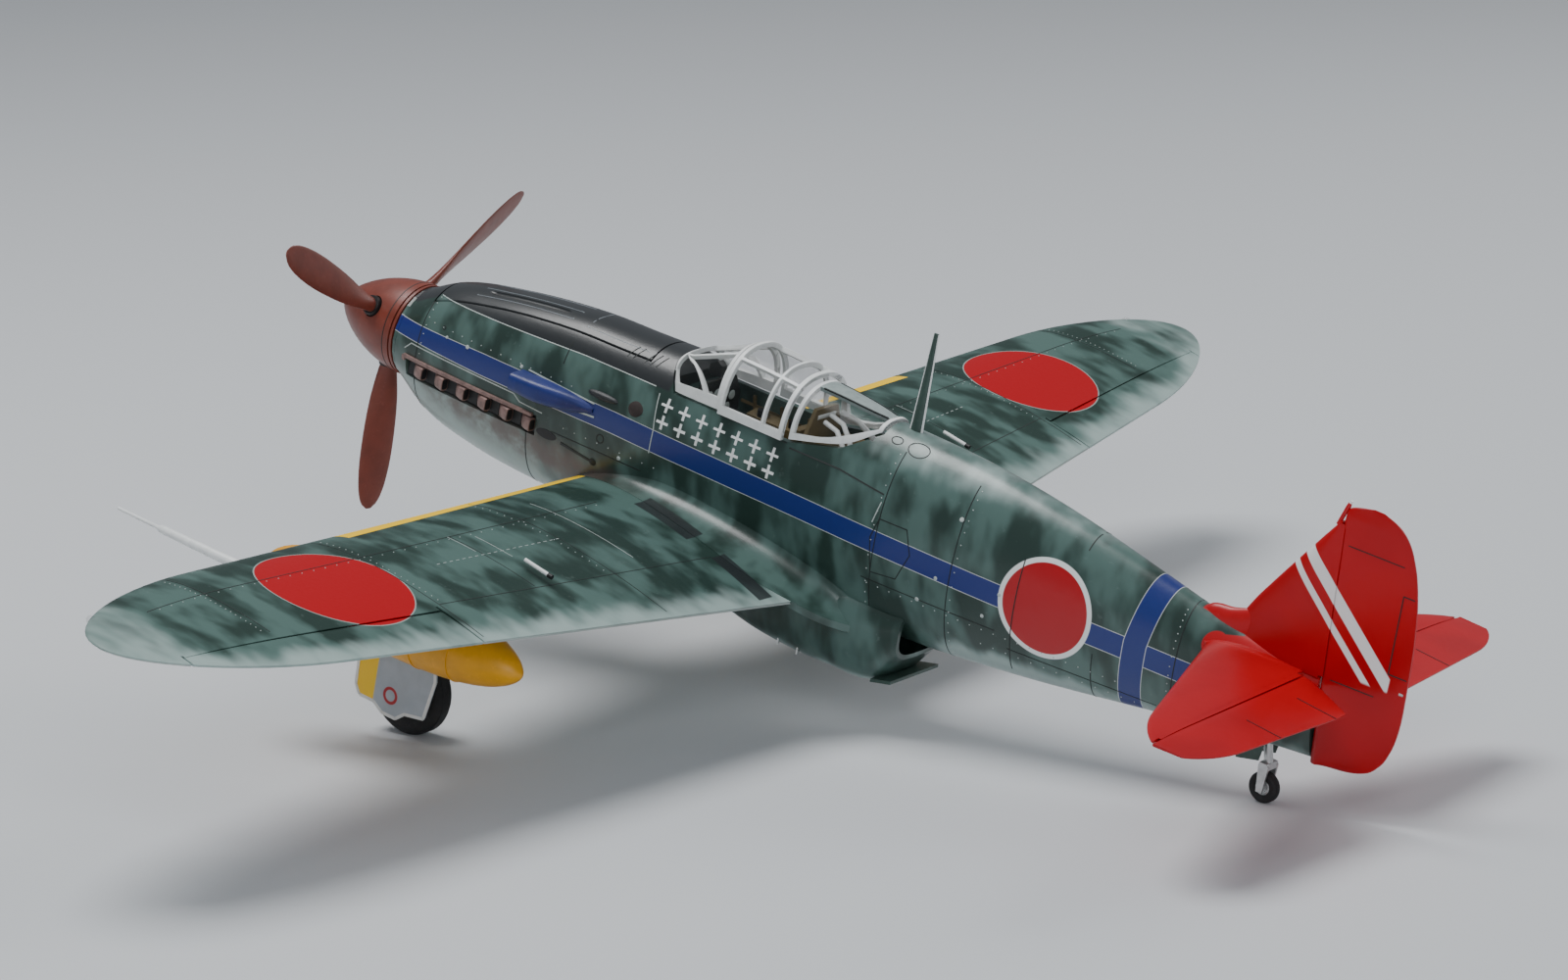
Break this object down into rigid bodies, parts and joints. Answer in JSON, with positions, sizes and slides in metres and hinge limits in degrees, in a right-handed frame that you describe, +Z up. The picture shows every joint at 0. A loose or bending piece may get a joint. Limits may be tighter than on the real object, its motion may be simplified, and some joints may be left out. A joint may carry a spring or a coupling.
{
  "type": "propeller plane model",
  "caption": "Scale display model of a low-wing single-seat propeller plane, standing on its wheels, with spinning propeller, sliding canopy and moving control surfaces.",
  "frame": {"origin": "on the floor, under the middle of the box round the whole model as it stands on its wheels", "axes": "+X forward, towards the propeller; +Y to port, along the left wing; +Z up from the floor"},
  "size_m": [0.1832, 0.2492, 0.0632],
  "materials": {
    "camouflage": "painted plastic, semi-gloss, dark green mottle over pale grey green",
    "tail_red": "painted plastic, bright red, semi-gloss",
    "exhaust_metal": "painted plastic, burnt brown metal colour",
    "signal_yellow": "painted plastic, orange yellow, satin",
    "cover_grey": "painted plastic, light blue grey",
    "silver": "painted plastic, silver",
    "underside_grey": "painted plastic, pale grey green, semi-gloss",
    "tyre_black": "moulded plastic, tyre black, matt",
    "anti_glare": "painted plastic, charcoal, nearly matt",
    "stripe_blue": "painted plastic, deep blue, satin",
    "black_parts": "painted plastic, black, matt",
    "clear": "clear moulded plastic, glossy, with painted frames",
    "cockpit_tan": "painted plastic, tan olive, matt",
    "propeller_brown": "painted plastic, red brown, satin"
  },
  "bodies": {
    "airframe": {"fuselage_left": "camouflage", "wing_upper_left": "camouflage", "wing_fillet_left": "camouflage", "tailplane_left": "tail_red", "exhaust_stack_left": "exhaust_metal", "drop_tank_left": "signal_yellow", "tank_pylon_left": "cover_grey", "gear_leg_left": "silver", "gear_cover_left": "cover_grey", "inner_gear_door_left": "underside_grey", "gear_indicator_left": "silver", "fuselage_right": "camouflage", "wing_upper_right": "camouflage", "wing_fillet_right": "camouflage", "tailplane_right": "tail_red", "exhaust_stack_right": "exhaust_metal", "drop_tank_right": "signal_yellow", "tank_pylon_right": "cover_grey", "gear_leg_right": "silver", "gear_cover_right": "cover_grey", "inner_gear_door_right": "underside_grey", "gear_indicator_right": "silver", "wing_lower": "underside_grey", "gun_cowl": "anti_glare", "fin": "tail_red", "supercharger_intake": "stripe_blue", "radiator_duct": "camouflage", "radiator_core": "black_parts", "windscreen": "clear", "rear_canopy": "clear", "cockpit_floor": "cockpit_tan", "seat": "cockpit_tan", "rear_deck": "cockpit_tan", "headrest_armour": "cockpit_tan", "instrument_panel": "black_parts", "control_stick": "black_parts", "gunsight": "black_parts", "antenna_mast": "camouflage", "air_probe": "silver", "tailwheel_leg": "silver", "cowl_front_ring": "camouflage", "propeller_bearing": "silver"},
    "propeller": {"spinner": "propeller_brown", "spinner_backplate": "propeller_brown", "propeller_shaft": "silver", "propeller_blade_1": "propeller_brown", "propeller_blade_2": "propeller_brown", "propeller_blade_3": "propeller_brown"},
    "canopy": {"sliding_canopy": "clear"},
    "rudder": {"rudder": "tail_red"},
    "elevator_left": {"elevator_left": "tail_red"},
    "elevator_right": {"elevator_right": "tail_red"},
    "aileron_left": {"aileron_left": "camouflage"},
    "aileron_right": {"aileron_right": "camouflage"},
    "wheel_left": {"main_tyre_left": "tyre_black", "main_hub_left": "silver"},
    "wheel_right": {"main_tyre_right": "tyre_black", "main_hub_right": "silver"},
    "tail_wheel": {"tail_tyre": "tyre_black", "tail_hub": "silver"}
  },
  "joints": [
    {"name": "propeller_spin", "type": "hinge", "parent": "airframe", "child": "propeller", "pos_m": [0.08201, 0, 0.04696], "axis": [0.9773, 0, 0.2119], "continuous": true},
    {"name": "canopy_slide", "type": "slide", "parent": "airframe", "child": "canopy", "axis": [-0.9773, 0, -0.2119], "range_m": [0, 0.0104]},
    {"name": "rudder_hinge", "type": "hinge", "parent": "airframe", "child": "rudder", "pos_m": [-0.07923, 0, 0.02266], "axis": [-0.1074, 0, 0.9942], "range_deg": [-30, 30]},
    {"name": "elevator_left_hinge", "type": "hinge", "parent": "airframe", "child": "elevator_left", "pos_m": [-0.07655, 0.01875, 0.01826], "axis": [0, 1, 0], "range_deg": [-20, 25]},
    {"name": "elevator_right_hinge", "type": "hinge", "parent": "airframe", "child": "elevator_right", "pos_m": [-0.07655, -0.01875, 0.01826], "axis": [0, 1, 0], "range_deg": [-20, 25]},
    {"name": "aileron_left_hinge", "type": "hinge", "parent": "airframe", "child": "aileron_left", "pos_m": [0.01255, 0.07187, 0.02714], "axis": [0.0678, 0.9943, 0.0819], "range_deg": [-18, 18]},
    {"name": "aileron_right_hinge", "type": "hinge", "parent": "airframe", "child": "aileron_right", "pos_m": [0.01255, -0.07187, 0.02714], "axis": [-0.0678, 0.9943, -0.0819], "range_deg": [-18, 18]},
    {"name": "wheel_left_spin", "type": "hinge", "parent": "airframe", "child": "wheel_left", "pos_m": [0.04221, 0.04333, 0.00635], "axis": [0, 1, 0], "continuous": true},
    {"name": "wheel_right_spin", "type": "hinge", "parent": "airframe", "child": "wheel_right", "pos_m": [0.04221, -0.04333, 0.00635], "axis": [0, 1, 0], "continuous": true},
    {"name": "tail_wheel_spin", "type": "hinge", "parent": "airframe", "child": "tail_wheel", "pos_m": [-0.06944, 0, 0.00219], "axis": [0, 1, 0], "continuous": true}
  ],
  "couplings": [
    {"joint": "elevator_right_hinge", "follows": "elevator_left_hinge", "ratio": 1},
    {"joint": "aileron_right_hinge", "follows": "aileron_left_hinge", "ratio": -1}
  ]
}
